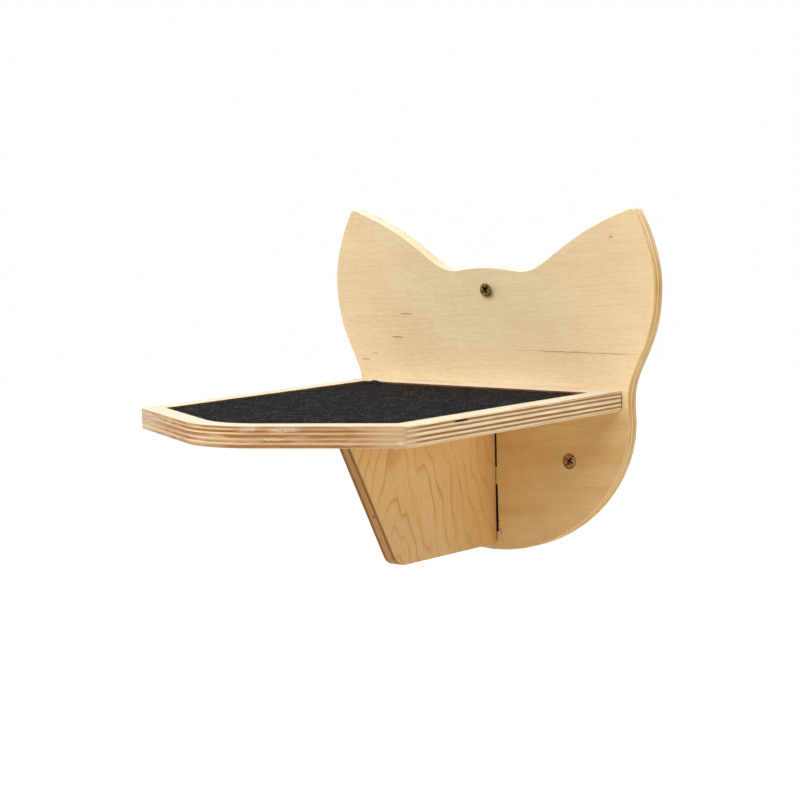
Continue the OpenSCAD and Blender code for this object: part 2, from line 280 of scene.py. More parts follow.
class PlyRecipe(Recipe):
    """Birch plywood. Its u runs along the face's grain, v across it and w down through the plies."""

    def __init__(self, name, grain, across, depth, face, inward, glue_lines, thickness):
        super().__init__(name, Specular_IOR_Level=0.25)
        place = self.tree.nodes.new("ShaderNodeTexCoord")
        spot = self.node("SeparateXYZ", Vector=place.outputs["Object"]).outputs
        facing = self.node("SeparateXYZ", Vector=place.outputs["Normal"]).outputs
        self.u = self.product(spot[grain], 1 / MM)
        self.v = self.product(spot[across], 1 / MM)
        self.w = self.product(self.less(spot[depth], face), inward / MM)
        self.along = self.math("ABSOLUTE", facing[grain])
        self.aside = self.math("ABSOLUTE", facing[across])
        self.facing = self.math("ABSOLUTE", facing[depth])
        self.place = self.vector(self.u, self.v, self.w)
        self.flat = self.vector(self.u, self.v, 0.0)
        self.glue_lines = glue_lines
        self.thickness = thickness
        # 1 in the half of the thickness next to the face, 0 in the far half
        self.outer = self.step(self.w, 0.45 * thickness, 0.55 * thickness, 1.0, 0.0)

    def plies(self, tints):
        """1 in the cross plies and 0 in the others, each ply's own tint, and 1 along the glue lines."""
        wander = self.noise(self.times(self.place, (0.03, 0.03, 0.2)), detail=2)
        level = self.total(self.w, self.product(self.less(wander, 0.5), 0.5))
        ramp = self.tree.nodes.new("ShaderNodeValToRGB")
        self.feed(ramp.inputs[0], self.math("DIVIDE", level, self.thickness))
        stops = ramp.color_ramp.elements
        stops.remove(stops[1])
        stops[0].position = 0.0
        stops[0].color = (0, tints[0], 0, 1)
        for count, line in enumerate(self.glue_lines):
            for side in (0, 1):
                stop = stops.new((line + (2 * side - 1) * GLUE_BLUR) / self.thickness)
                stop.color = ((count + side) % 2, tints[count + side], 0, 1)
            glue = stops.new(line / self.thickness)
            glue.color = (0.5, (tints[count] + tints[count + 1]) / 2, 1, 1)
        split = self.node("SeparateColor", Color=ramp.outputs[0]).outputs
        return split[0], split[1], split[2]

    def wood(self, tints, pale, end_tint, glue_depth, face):
        """Colour of the face veneer and of the cut plies, before marks."""
        cross, tint, glue = self.plies(tints)
        self.end = self.step(self.between(cross, self.along, self.aside), 0.12, 0.95)
        with_grain = self.noise(self.times(self.place, (0.04, 1.3, 1.3)), detail=4, roughness=0.6)
        cross_grain = self.noise(self.times(self.place, (1.3, 0.04, 1.3)), detail=4, roughness=0.6)
        self.fibre = self.between(cross, with_grain, cross_grain)
        self.pores = self.noise(self.times(self.place, (2.6, 2.6, 2.6)), detail=3, roughness=0.7)
        blotch = self.noise(self.times(self.place, (0.07, 0.07, 0.6)), detail=3)
        side = self.mix(self.step(self.fibre, 0.3, 0.7), tuple(0.88 * c for c in pale), pale)
        dark_end = tuple(c * t for c, t in zip(pale, end_tint))
        end = self.mix(self.step(self.pores, 0.35, 0.65), tuple(0.78 * c for c in dark_end), dark_end)
        cut = self.mix(self.end, side, end)
        shade = self.product(tint, self.step(blotch, 0.3, 0.7, 0.9, 1.06))
        warm = self.math("POWER", shade, 1.6)
        cut = self.mix(1.0, cut, self.vector(shade, self.math("POWER", shade, 1.25), warm), "MULTIPLY")
        cut = self.mix(self.product(glue, glue_depth), cut, GLUE_BROWN)
        self.is_face = self.step(self.facing, 0.8, 0.985)
        self.is_edge = self.less(1.0, self.is_face)
        self.is_front = self.product(self.is_face, self.outer)
        return self.mix(self.is_face, cut, face)

    def fine_grain(self, light, dark, reach=0.44, tilt=0.0):
        """Short fibres along the grain, with slow slanting clouds of a deeper tone that are painted sheen.
        """
        sway = self.noise(self.times(self.flat, (0.012, 0.03, 1)), detail=1)
        bent = self.total(self.v, self.product(sway, 5.0))
        bent = self.less(bent, self.product(self.u, tilt))
        drawn = self.vector(self.u, bent, 0.0)
        short = self.noise(self.times(drawn, (0.17, 0.95, 1)), detail=4, roughness=0.75)
        long = self.noise(self.times(drawn, (0.025, 0.55, 1)), detail=3, roughness=0.6)
        # Painted sheen: slow slanting clouds of a deeper tone stand in for the shifting sheen of the wood's
        # figure
        slant = self.vector(self.total(self.u, self.product(self.v, 0.8)), self.v, 0.0)
        cloud = self.noise(self.times(slant, (0.022, 0.012, 1)), detail=3, roughness=0.5)
        self.fine = short
        share = self.step(short, 0.34, 0.66, 0.0, reach)
        share = self.total(share, self.step(long, 0.35, 0.68, -0.06, 0.18))
        share = self.total(share, self.step(cloud, 0.34, 0.68, -0.05, 0.2), clamp=True)
        return self.mix(share, light, dark)

    def rings(self, middle, across, along, sway):
        """Dark late wood: contour lines of a ridge that runs along the grain, so they nest as arches."""
        far = self.less(self.v, middle)
        ridge = self.math("SQRT", self.total(self.product(far, far), 90.0))
        hill = self.total(self.math("DIVIDE", ridge, across), self.math("DIVIDE", self.u, along))
        bend = self.noise(self.times(self.flat, (0.013, 0.04, 1)), detail=2)
        ripple = self.noise(self.times(self.vector(self.u, self.v, 7.0), (0.05, 0.16, 1)), detail=3)
        hill = self.total(hill, self.product(self.less(bend, 0.5), sway),
                          self.product(self.less(ripple, 0.5), 0.6))
        ring = self.math("FRACT", hill)
        return self.product(self.step(ring, 0.62, 0.88), self.step(ring, 0.88, 0.97, 1.0, 0.0))

    def spot(self, centre, half, tilt=0.0, wobble=0.0, edge=0.35):
        """1 within an ellipse on the face, at a place in u and v, with half sizes in millimetres."""
        du = self.less(self.u, centre[0])
        dv = self.less(self.v, centre[1])
        dv = self.less(dv, self.product(du, math.tan(math.radians(tilt))))
        if wobble:
            sway = self.noise(self.vector(self.product(self.u, 0.08), centre[1], 0.0), detail=3)
            dv = self.total(dv, self.product(self.less(sway, 0.5), wobble))
        far = self.total(self.math("POWER", self.math("DIVIDE", du, half[0]), 2.0),
                        self.math("POWER", self.math("DIVIDE", dv, half[1]), 2.0))
        return self.step(far, edge, 1.0, 1.0, 0.0)

    def stain(self, colour, mark, depth, tone):
        """Blends a tone into the colour where the mark is, to the depth given."""
        return self.mix(self.product(mark, depth), colour, tone)

    def finish_board(self, colour):
        """Puts the colour, the roughness and the grain's relief on the surface."""
        self.colour(colour)
        self.roughness(self.between(self.end, FACE_ROUGH, END_ROUGH))
        grooves = self.between(self.is_face, self.between(self.end, self.fibre, self.pores), self.fine)
        self.bump(grooves, GRAIN_RELIEF, 0.5)
        return self.material


def char_and_shade(name, dark, light):
    """Dark wood: browned by the cutter on the pocket's walls and in the slots, where painted shade darkens
    it near black, and near-black painted shade on the tenons in the slots and in the ply void; also used on
    the countersinks.
    """
    recipe = Recipe(name, Roughness=0.85, Specular_IOR_Level=0.2)
    place = recipe.millimetres()
    soot = recipe.noise(recipe.times(place, (0.5, 0.5, 0.9)), detail=5, roughness=0.65)
    recipe.colour(recipe.mix(recipe.step(soot, 0.35, 0.7), dark, light))
    recipe.bump(soot, 0.0002)
    return recipe.material


def plate_wood():
    """Pale birch with broad amber bands, mostly low down, painted warm shade below the shelf, lighter to
    the right, and the marks on the plate's front.
    """
    recipe = PlyRecipe("plate_plywood", grain=X, across=Z, depth=Y, face=PLATE_FACE, inward=1,
                       glue_lines=PLATE_PLIES, thickness=PLATE_THICK)
    face = recipe.fine_grain(light=(0.815, 0.65, 0.41), dark=(0.655, 0.475, 0.255), reach=0.4, tilt=0.035)
    risen = recipe.less(recipe.v, recipe.product(recipe.u, 0.1))
    drawn = recipe.vector(recipe.u, risen, 0.0)
    broad = recipe.noise(recipe.times(drawn, (0.007, 0.085, 1)), detail=3, roughness=0.45)
    lower = recipe.step(recipe.v, -25.0, 0.0, 1.0, 0.2)
    bands = recipe.product(recipe.step(broad, 0.42, 0.62), lower)
    face = recipe.stain(face, bands, depth=recipe.product(recipe.outer, 0.22), tone=(0.5, 0.25, 0.05))
    # Painted shade on the plate's front below the shelf, lighter to the right
    below_shelf = recipe.step(recipe.v, -13.0, -10.0, 1.0, 0.0)
    shaded = recipe.math("MINIMUM", recipe.step(recipe.v, -75.0, -14.0), below_shelf)
    shaded = recipe.product(shaded, recipe.outer)
    to_the_right = recipe.step(recipe.u, 8.0, 60.0, 0.32, 0.1)
    face = recipe.stain(face, shaded, depth=to_the_right, tone=(0.5, 0.25, 0.03))
    # Painted warm shade below the shelf
    warm_painted_shade = recipe.product(recipe.step(recipe.v, -30.0, -12.0, 1.0, 0.0), recipe.outer)
    face = recipe.stain(face, warm_painted_shade, depth=0.14, tone=(0.55, 0.33, 0.06))
    tints = (1.03, 1.0, 0.98, 1.08, 0.95, 0.98, 0.88)
    colour = recipe.wood(tints, pale=(0.9, 0.72, 0.45), end_tint=(0.9, 0.75, 0.5),
                         glue_depth=0.3, face=face)
    return recipe.finish_board(plate_marks(recipe, plate_edge(recipe, colour)))


def plate_edge(recipe, colour):
    """Darkens the plate's upright edges, darkens the lower ones with painted shade, and pales those that
    face up with painted light.
    """
    upright = recipe.less(recipe.along, recipe.product(recipe.aside, 0.8), clamp=True)
    colour = recipe.mix(recipe.product(upright, recipe.is_edge), colour, (0.87, 0.79, 0.7), "MULTIPLY")
    # Painted light: level edges high on the plate, which face up, are paler; painted shade: level edges low
    # on it, which face down, are darker
    level = recipe.product(recipe.aside, recipe.is_edge)
    above = recipe.product(level, recipe.step(recipe.v, -80.0, -40.0))
    colour = recipe.mix(above, colour, (1.05, 1.24, 1.75), "MULTIPLY")
    below = recipe.less(level, above)
    return recipe.mix(below, colour, (0.84, 0.78, 0.68), "MULTIPLY")


def plate_marks(recipe, colour):
    """Mineral streaks, shadows in the joints and the hairline crack on the plate's front."""
    streak = (0.43, 0.155, 0.015)
    for centre, half, strength in STREAKS:
        mark = recipe.product(recipe.spot(centre, half, wobble=0.3), recipe.is_front)
        colour = recipe.stain(colour, mark, strength, streak)
    for centre, half in JOINT_SHADOWS:
        mark = recipe.product(recipe.spot(centre, half, edge=0.1), recipe.is_front)
        colour = recipe.stain(colour, mark, depth=0.8, tone=(0.12, 0.055, 0.02))
    line = recipe.spot(*HAIRLINE, tilt=0.4, wobble=2.0)
    patchy = recipe.noise(recipe.vector(recipe.product(recipe.u, 0.07), 3.0, 0.0))
    crack = recipe.product(line, recipe.step(patchy, 0.35, 0.6, 0.4, 0.95), recipe.is_front)
    return recipe.stain(colour, crack, depth=0.8, tone=streak)


def shelf_wood():
    """Whiter birch whose cut plies show strong stripes, hazed and scuffed along the front, with painted
    shade on the front edges and on the lowest ply of the side edges.
    """
    recipe = PlyRecipe("shelf_plywood", grain=Y, across=X, depth=Z, face=SHELF_TOP, inward=-1,
                       glue_lines=SHELF_PLIES, thickness=SHELF_THICK)
    face = recipe.fine_grain(light=(0.72, 0.62, 0.475), dark=(0.62, 0.49, 0.33))
    tints = (1.0, 0.84, 0.92, 1.0, 0.99, 0.86, 0.96, 1.02, 0.94)
    colour = recipe.wood(tints, pale=(1.0, 0.85, 0.65), end_tint=(0.44, 0.29, 0.165),
                         glue_depth=0.45, face=face)
    # Painted shade: the front edges are darker and browner than the side edges
    shaded_front_edge = recipe.product(recipe.along, recipe.is_edge)
    colour = recipe.mix(shaded_front_edge, colour, (0.9, 0.785, 0.63), "MULTIPLY")
    haze = recipe.noise(recipe.times(recipe.place, (0.05, 0.05, 0.35)), detail=4)
    haze = recipe.product(recipe.step(haze, 0.46, 0.66, 0.0, 0.55), recipe.along)
    off_middle = recipe.math("ABSOLUTE", recipe.total(recipe.v, SHELF_SHIFT))
    sanded = recipe.product(recipe.step(off_middle, 70.0, 90.0),
                            recipe.step(recipe.u, -206.0, -195.0, 0.6, 0.0))
    haze = recipe.product(recipe.math("MAXIMUM", haze, sanded), recipe.is_edge)
    colour = recipe.mix(haze, colour, (0.68, 0.5, 0.33))
    greyed = recipe.product(recipe.step(recipe.v, -80.0, -45.0, 0.4, 0.0), recipe.along)
    colour = recipe.stain(colour, greyed, depth=recipe.is_edge, tone=(0.72, 0.6, 0.46))
    cracks = recipe.noise(recipe.times(recipe.place, (0.035, 0.035, 1.3)), detail=5, roughness=0.75)
    cracks = recipe.product(recipe.step(cracks, 0.5, 0.57), recipe.step(recipe.w, 7.0, 8.5, 1.0, 0.25))
    left = recipe.step(recipe.v, -72.0, -48.0, 1.0, 0.0)
    cracks = recipe.product(cracks, left, recipe.is_edge)
    colour = recipe.stain(colour, cracks, depth=0.6, tone=(0.25, 0.18, 0.12))
    # Painted shade on the lowest ply of the side edges, where they round under
    shaded_lowest_ply = recipe.step(recipe.w, 10.7, 11.7)
    shaded_lowest_ply = recipe.product(shaded_lowest_ply, recipe.step(recipe.aside, 0.6, 0.95), recipe.is_edge)
    colour = recipe.stain(colour, shaded_lowest_ply, depth=0.6, tone=(0.4, 0.2, 0.08))
    chalk = recipe.noise(recipe.times(recipe.place, (0.9, 0.9, 1.6)), detail=5, roughness=0.75)
    flecks = recipe.step(chalk, 0.4, 0.6)
    for centre, half in SCUFFS:
        far = recipe.squares(*zip((recipe.v, recipe.u, recipe.w), centre, half))
        scuff = recipe.product(recipe.step(far, 0.2, 1.0, 1.0, 0.0), flecks)
        colour = recipe.stain(colour, scuff, depth=0.55, tone=(0.92, 0.86, 0.8))
    return recipe.finish_board(colour)


def bracket_wood():
    """Upright grain with nested growth rings, darker and browner than the plate's birch with painted shade
    in it, and more painted shade towards the plate and under the shelf.
    """
    recipe = PlyRecipe("bracket_plywood", grain=Z, across=Y, depth=X, face=BRACKET_LOW.x, inward=1,
                       glue_lines=BRACKET_PLIES, thickness=BRACKET_THICK)
    # The bracket's birch is darker and browner than the plate's: its own colour with painted shade in it
    face = recipe.fine_grain(light=(0.72, 0.515, 0.275), dark=(0.585, 0.37, 0.165), reach=0.42)
    arches = recipe.rings(middle=-104, across=9.5, along=27.0, sway=4.0)
    faded = recipe.noise(recipe.times(recipe.flat, (0.02, 0.05, 1)), detail=2)
    arches = recipe.product(arches, recipe.step(faded, 0.35, 0.6, 0.3, 1.0))
    face = recipe.stain(face, arches, depth=0.5, tone=(0.42, 0.16, 0.015))
    # Painted shade towards the plate and under the shelf
    painted_shade_near_plate_and_shelf = recipe.math("MAXIMUM", recipe.step(recipe.v, -75.0, -10.0),
                          recipe.step(recipe.u, -52.0, -14.0))
    face = recipe.stain(face, painted_shade_near_plate_and_shelf, depth=0.5, tone=(0.5, 0.27, 0.07))
    tints = (0.75, 0.55, 0.85, 0.95, 0.85, 0.55, 0.7)
    colour = recipe.wood(tints, pale=(0.74, 0.5, 0.28), end_tint=(0.8, 0.7, 0.5),
                         glue_depth=0.6, face=face)
    # Painted shade of a nail hole: a dark spot on the front edge
    far = recipe.squares((recipe.w, NAIL_DEPTH, 0.8), (recipe.u, NAIL_HEIGHT, 1.0))
    nail_hole_shade = recipe.product(recipe.step(far, 0.4, 1.2, 1.0, 0.0), recipe.is_edge)
    return recipe.finish_board(recipe.stain(colour, nail_hole_shade, depth=0.85, tone=(0.09, 0.035, 0.012)))


def carpet_felt(name, dark, light, specks, fine=1.1, contrast=(0.38, 0.72)):
    """Charcoal needle felt: matted fibre brushed one way, with paler specks, a little darker and cooler
    behind the front, and browner at the back with painted light reflected off the plate.
    """
    recipe = Recipe(name, Roughness=0.95, Specular_IOR_Level=0.03,
                    Sheen_Weight=0.01, Sheen_Roughness=0.6)
    place = recipe.millimetres()
    x, y = recipe.node("SeparateXYZ", Vector=place).outputs[:2]
    mat = recipe.noise(recipe.times(place, (fine, fine, fine)), detail=6, roughness=0.75, distortion=0.6)
    flock = recipe.noise(recipe.times(place, (0.16, 0.09, 0.1)), detail=5, roughness=0.75)
    along_nap = recipe.less(recipe.product(y, NAP_TURN[0]), recipe.product(x, NAP_TURN[1]))
    across_nap = recipe.total(recipe.product(x, NAP_TURN[0]), recipe.product(y, NAP_TURN[1]))
    brushed = recipe.vector(recipe.product(across_nap, 0.75), recipe.product(along_nap, 0.28), 0.0)
    nap = recipe.noise(brushed, detail=2, roughness=0.7)
    lint = recipe.noise(recipe.times(place, (0.55, 0.55, 0.55)), detail=2, roughness=0.8, distortion=1.5)
    share = recipe.total(recipe.step(mat, *contrast, 0.0, 0.7), recipe.step(flock, 0.38, 0.66, -0.25, 0.4))
    share = recipe.total(share, recipe.step(nap, 0.4, 0.62, -0.3, 0.36), clamp=True)
    felt = recipe.mix(share, dark, light)
    # A little darker and cooler behind the front, then browner towards the plate: a painted reflection of
    # the plate's wood
    felt = recipe.mix(recipe.step(y, -205.0, -135.0), felt, (0.9, 0.92, 0.95), "MULTIPLY")
    felt = recipe.mix(recipe.step(y, -110.0, -25.0), felt, (0.93, 0.7, 0.58), "MULTIPLY")
    pale = recipe.product(recipe.step(lint, 0.66, 0.74), specks)
    recipe.colour(recipe.mix(pale, felt, (0.11, 0.105, 0.1)))
    recipe.bump(mat, 0.0007)
    return recipe.material


def bronzed_metal(name, dark, light, rough):
    recipe = Recipe(name, Metallic=1.0)
    place = recipe.millimetres()
    stain = recipe.noise(recipe.times(place, (0.9, 0.9, 0.9)), detail=4)
    grit = recipe.noise(recipe.times(place, (3.0, 3.0, 3.0)), detail=3)
    recipe.colour(recipe.mix(recipe.step(stain, 0.35, 0.65), dark, light))
    recipe.roughness(recipe.step(stain, 0.3, 0.7, rough, rough + 0.15))
    recipe.bump(grit, 0.00006)
    return recipe.material


def film_plastic():
    recipe = Recipe("adhesive_film", Roughness=0.6)
    ripple = recipe.noise(recipe.times(recipe.millimetres(), (0.08, 0.08, 0.08)), detail=3)
    recipe.colour(recipe.mix(ripple, (0.52, 0.5, 0.45), (0.66, 0.64, 0.58)))
    recipe.bump(ripple, 0.0003)
    return recipe.material


def from_frame(node):
    """A working mesh of a node of the frame, with its triangles joined into flat faces."""
    mesh = bmesh.new()
    mesh.from_mesh(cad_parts[node].data)
    bmesh.ops.remove_doubles(mesh, verts=mesh.verts, dist=TOUCHING)
    bmesh.ops.dissolve_limit(mesh, angle_limit=math.radians(0.3), verts=mesh.verts, edges=mesh.edges)
    return mesh


def rims(mesh, axis, level):
    """The closed edge lines of the flat face at a level of an axis, the longest first."""
    def flat(face):
        return abs(face.normal[axis]) > 0.99 and abs(face.calc_center_median()[axis] - level) < 0.05 * MM

    def size(loop):
        points = [v.co for e in loop for v in e.verts]
        return sum(max(p[i] for p in points) - min(p[i] for p in points) for i in range(3))

    rim = {e for e in mesh.edges if len(e.link_faces) == 2 and sum(map(flat, e.link_faces)) == 1}
    loops = []
    while rim:
        found, ahead = set(), [rim.pop()]
        while ahead:
            edge = ahead.pop()
            found.add(edge)
            beside = {e for v in edge.verts for e in v.link_edges} & rim
            rim -= beside
            ahead.extend(beside)
        loops.append(found)
    return sorted(loops, key=size, reverse=True)


def middle(edge):
    return (edge.verts[0].co + edge.verts[1].co) / 2


def runs_along(edge, axis):
    return abs((edge.verts[1].co - edge.verts[0].co).normalized()[axis]) > 0.999


def soften(mesh, edges, millimetres, segments):
    bmesh.ops.bevel(mesh, geom=list(edges), offset=millimetres * MM, offset_type="OFFSET", affect="EDGES",
                    segments=segments, profile=0.5, material=-1, clamp_overlap=True)


def make_piece(name, mesh, materials, slot, *nodes):
    """Turns a working mesh into a finished piece that stands for nodes of the frame."""
    data = bpy.data.meshes.new(name)
    for face in mesh.faces:
        face.smooth = True
    mesh.to_mesh(data)
    mesh.free()
    for material in materials:
        data.materials.append(material)
    piece = bpy.data.objects.new(name, data)
    bpy.context.scene.collection.objects.link(piece)
    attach(piece, BODY)
    if nodes:
        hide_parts(*nodes)
    return piece


def crisp(piece, angle=35):
    """Keeps flat faces flat in the shading beside rounded edges."""
    piece.data.set_sharp_from_angle(angle=math.radians(angle))
    finish = piece.modifiers.new("normals", "WEIGHTED_NORMAL")
    finish.keep_sharp = True
    finish.weight = 100


def cut_away(piece, cutter):
    """Cuts a closed shape out of a piece for good."""
    data = bpy.data.meshes.new("cutter")
    cutter.to_mesh(data)
    cutter.free()
    for material in piece.data.materials:
        data.materials.append(material)
    tool = bpy.data.objects.new("cutter", data)
    bpy.context.scene.collection.objects.link(tool)
    cut = piece.modifiers.new("cut", "BOOLEAN")
    cut.operation = "DIFFERENCE"
    cut.solver = "EXACT"
    cut.object = tool
    whole = piece.data
    finished = piece.evaluated_get(bpy.context.evaluated_depsgraph_get())
    piece.data = bpy.data.meshes.new_from_object(finished)
    piece.modifiers.remove(cut)
    bpy.data.objects.remove(tool)
    bpy.data.meshes.remove(data)
    bpy.data.meshes.remove(whole)
    piece.data.name = piece.name


def slot_edge_at(height):
    """Right edge of the slots on the plate's face, in millimetres, at a height."""
    for (top, start), (low, end) in zip(RIGHT_EDGE, RIGHT_EDGE[1:]):
        if low <= height <= top:
            return start + (end - start) * (top - height) / (top - low)
    return RIGHT_EDGE[-1][1]


def slot_chip(height, inside):
    """How far the slots' right wall stands off its line, in millimetres; less inside the plate."""
    ragged = 0.9 if RAGGED_LOW < height < RAGGED_HIGH else 0.12
    chip = noise.noise(Vector((height * 1.1, 4.0, 0))) * ragged
    chip += noise.noise(Vector((height * 0.35, 9.0, 0))) * 0.1
    return chip * 0.4 if inside else chip


def open_slots(mesh):
    """Rounds the slots' corners and makes their right walls as uneven as the cutter left them."""
    def on_edge(across, height):
        return abs(across - SLOT_EDGE * MM) < 0.1 * MM and SLOTS_LOW * MM < height < SLOTS_HIGH * MM

    corners = {e for e in mesh.edges if runs_along(e, Y) and on_edge(abs(middle(e).x), middle(e).z)}
    soften(mesh, corners, SLOT_CORNER_ROUND, 3)
    walls = [e for e in mesh.edges if runs_along(e, Z) and on_edge(middle(e).x, middle(e).z)
             and e.calc_length() > 20 * MM]
    bmesh.ops.subdivide_edges(mesh, edges=walls, cuts=WALL_CUTS, use_grid_fill=True)
    for vert in mesh.verts:
        if on_edge(vert.co.x, vert.co.z):
            height = vert.co.z / MM
            chip = slot_chip(height, vert.co.y > PLATE_FACE + 1 * MM)
            vert.co.x = (min(slot_edge_at(height), SLOT_EDGE) + chip) * MM


def make_plate():
    """The back plate: rounded front and back edges, open slots whose walls are browned by the cutter and
    darkened near black with painted shade, and browned countersinks.
    """
    mesh = from_frame("back_plate")
    front = rims(mesh, Y, PLATE_FACE)[0]
    back = rims(mesh, Y, PLATE_HIGH.y)[0]
    soften(mesh, front, PLATE_FRONT_ROUND, 6)
    soften(mesh, {e for e in back if e.is_valid}, PLATE_BACK_ROUND, 4)
    open_slots(mesh)
    screws = [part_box(node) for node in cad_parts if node.endswith("wall_screw")]
    holes = [((low + high) / 2 / MM).xz for low, high in screws]
    for face in mesh.faces:
        centre = face.calc_center_median() / MM
        in_slot = abs(centre.x) < 8 and SLOTS_LOW < centre.z < SLOTS_HIGH
        in_mortise = 25 < abs(centre.x) < 80 and -13 < centre.z < 1
        if abs(face.normal.y) < 0.1 and (in_slot or in_mortise):
            face.material_index = 1
        elif abs(face.normal.y) < 0.9 and any((centre.xz - hole).length < 5.2 for hole in holes):
            face.material_index = 2
    # The walls of the slots and mortises are browned by the cutter and darkened near black with painted
    # shade
    materials = [plate_wood(),
                 char_and_shade("slot_char_and_shade", dark=(0.012, 0.007, 0.005), light=(0.07, 0.032, 0.014)),
                 char_and_shade("countersink_wood", dark=(0.2, 0.095, 0.04), light=(0.42, 0.25, 0.12))]
    crisp(make_piece("eared_back_plate", mesh, materials, "birch_plywood", "back_plate"))


def make_shelf():
    """The shelf board: eased edges, a browned pocket wall and a void between two plies, whose walls are
    painted near black with shade.
    """
    mesh = from_frame("shelf_board")
    top, pocket = rims(mesh, Z, SHELF_TOP)[:2]
    under = rims(mesh, Z, SHELF_LOW.z)[0]
    open_top = {e for e in top if middle(e).y < PLATE_FACE - 1 * MM}
    open_under = {e for e in under if middle(e).y < PLATE_FACE - 1 * MM}
    soften(mesh, open_top, SHELF_TOP_ROUND, 4)
    soften(mesh, {e for e in open_under if e.is_valid}, SHELF_UNDER_ROUND, 5)
    soften(mesh, {e for e in pocket if e.is_valid}, POCKET_RIM_ROUND, 2)
    for face in mesh.faces:
        centre = face.calc_center_median() / MM
        inner = abs(centre.x + SHELF_SHIFT) < 86.5 and -250 < centre.y < -24 and -8.5 < centre.z < -0.3
        from_middle = centre.xy - Vector((-SHELF_SHIFT, -120))
        wall = abs(face.normal.z) < 0.1 and face.normal.xy.dot(from_middle) < 0
        if inner and (wall or face.normal.z > 0.9):
            face.material_index = 1
    # The void between two plies gets near-black painted shade
    materials = [shelf_wood(),
                 char_and_shade("routed_wood", dark=(0.13, 0.045, 0.01), light=(0.26, 0.10, 0.03)),
                 char_and_shade("ply_void", dark=(0.008, 0.005, 0.004), light=(0.03, 0.015, 0.008))]
    piece = make_piece("inlaid_shelf_board", mesh, materials, "birch_plywood", "shelf_board")
    cut_away(piece, ply_void())
    crisp(piece)


def ply_void():
    """A gap between two plies in the shelf's right edge, as a shape to cut away."""
    cutter = bmesh.new()
    bmesh.ops.create_icosphere(cutter, subdivisions=3, radius=1.0)
    for vert in cutter.verts:
        vert.co.z *= 1 + 0.5 * noise.noise(Vector((vert.co.y * 2.5, 3, 0)))
    bmesh.ops.scale(cutter, verts=cutter.verts, vec=Vector(VOID_HALF) * MM)
    bmesh.ops.translate(cutter, verts=cutter.verts,
                        vec=(SHELF_HIGH.x, VOID_PLACE * MM, SHELF_TOP - VOID_DEPTH * MM))
    for face in cutter.faces:
        face.material_index = 2
    return cutter


def make_bracket():
    """The slanted bracket: eased edges, and tenons painted near black with shade where they enter the
    plate.
    """
    mesh = from_frame("bracket")
    edges = set()
    for side in (BRACKET_LOW.x, BRACKET_HIGH.x):
        edges |= {e for e in rims(mesh, X, side)[0]
                  if middle(e).y < PLATE_FACE - 1 * MM and middle(e).z < SHELF_LOW.z - 1 * MM}
    soften(mesh, edges, BRACKET_ROUND, 3)
    bmesh.ops.bisect_plane(mesh, geom=mesh.verts[:] + mesh.edges[:] + mesh.faces[:], dist=TOUCHING,
                           plane_co=(0, PLATE_FACE + 0.15 * MM, 0), plane_no=(0, 1, 0))
    for face in mesh.faces:
        # The tenons' faces inside the plate get near-black painted shade
        if face.calc_center_median().y > PLATE_FACE + 0.2 * MM and face.normal.y < 0.9:
            face.material_index = 1
    materials = [bracket_wood(),
                 char_and_shade("tenon_painted_shade", dark=(0.01, 0.006, 0.004), light=(0.045, 0.022, 0.011))]
    crisp(make_piece("slanted_bracket", mesh, materials, "birch_plywood", "bracket"))


def nap_height(x, y):
    """How far the carpet's top lies off its level, all in millimetres."""
    matted = 0.22 * noise.noise(Vector((x * 0.9, y * 0.9, 0)))
    matted += 0.12 * noise.noise(Vector((x * 0.11, y * 0.11, 5)))
    from_corner = ((x - FRAYED_CORNER[0]) / 5) ** 2 + ((y - FRAYED_CORNER[1]) / 4.5) ** 2
    return matted + FRAY_RISE * math.exp(-from_corner)


def trim_to(mesh, outline, spare=0.0):
    """Cuts a flat mesh to a convex outline, and gives the outline's lines."""
    lines = []
    for start, end in outline:
        outward = Vector((end.y - start.y, start.x - end.x, 0)).normalized()
        lines.append((start, outward))
        bmesh.ops.bisect_plane(mesh, geom=mesh.verts[:] + mesh.edges[:] + mesh.faces[:], dist=TOUCHING,
                               plane_co=start + outward * spare * MM, plane_no=outward, clear_outer=True)
    return lines


def carpet_outline():
    """The long edges of the carpet's plan, each as its two ends."""
    mesh = from_frame("carpet_pad")
    top = max((f for f in mesh.faces if f.normal.z > 0.99), key=lambda f: f.calc_area())
    corners = [v.co.copy() for v in top.verts]
    mesh.free()
    return [(a, b) for a, b in zip(corners, corners[1:] + corners[:1]) if (b - a).length > 1 * MM]


